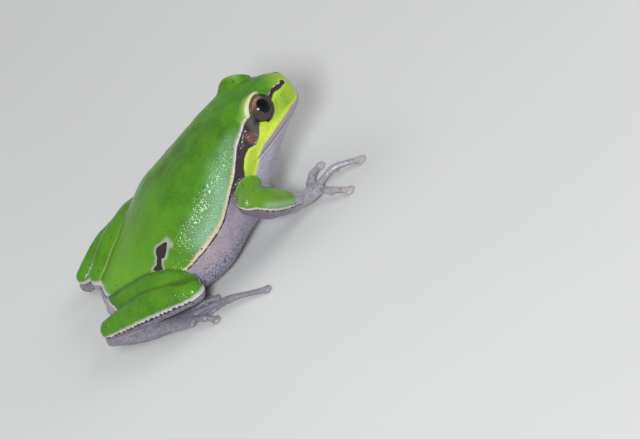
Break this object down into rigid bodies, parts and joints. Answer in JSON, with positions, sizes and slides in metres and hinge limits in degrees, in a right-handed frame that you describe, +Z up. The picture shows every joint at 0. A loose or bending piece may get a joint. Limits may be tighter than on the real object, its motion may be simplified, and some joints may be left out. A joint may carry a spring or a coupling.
{
  "type": "european tree frog",
  "caption": "Small tree frog sitting at rest, belly down and head raised, legs folded, finger and toe tips with round discs.",
  "frame": {"origin": "middle of the bottom of the bounding box, on the floor that the animal sits on", "axes": "+X towards the snout, +Y towards the animal's left, +Z up"},
  "size_m": [0.0468, 0.0382, 0.0198],
  "materials": {
    "green_skin": "wet, smooth leaf green, finely pebbled on the flank",
    "throat_skin": "moist whitish lilac, granular",
    "lilac_skin": "moist, thin grey-lilac skin",
    "eardrum_skin": "smooth reddish brown",
    "eye": "wet, clear cornea over a copper-bronze iris with a black pupil"
  },
  "bodies": {
    "root": {"head": "green_skin", "lower_jaw": "throat_skin", "trunk": "green_skin", "eye_right": "eye", "eye_left": "eye", "eardrum_right": "eardrum_skin", "eardrum_left": "eardrum_skin", "upper_arm_right": "green_skin", "forearm_right": "green_skin", "hand_right": "lilac_skin", "thigh_right": "green_skin", "shank_right": "green_skin", "tarsus_right": "lilac_skin", "foot_right": "lilac_skin", "upper_arm_left": "green_skin", "forearm_left": "green_skin", "hand_left": "lilac_skin", "thigh_left": "green_skin", "shank_left": "green_skin", "tarsus_left": "lilac_skin", "foot_left": "lilac_skin"}
  },
  "joints": []
}
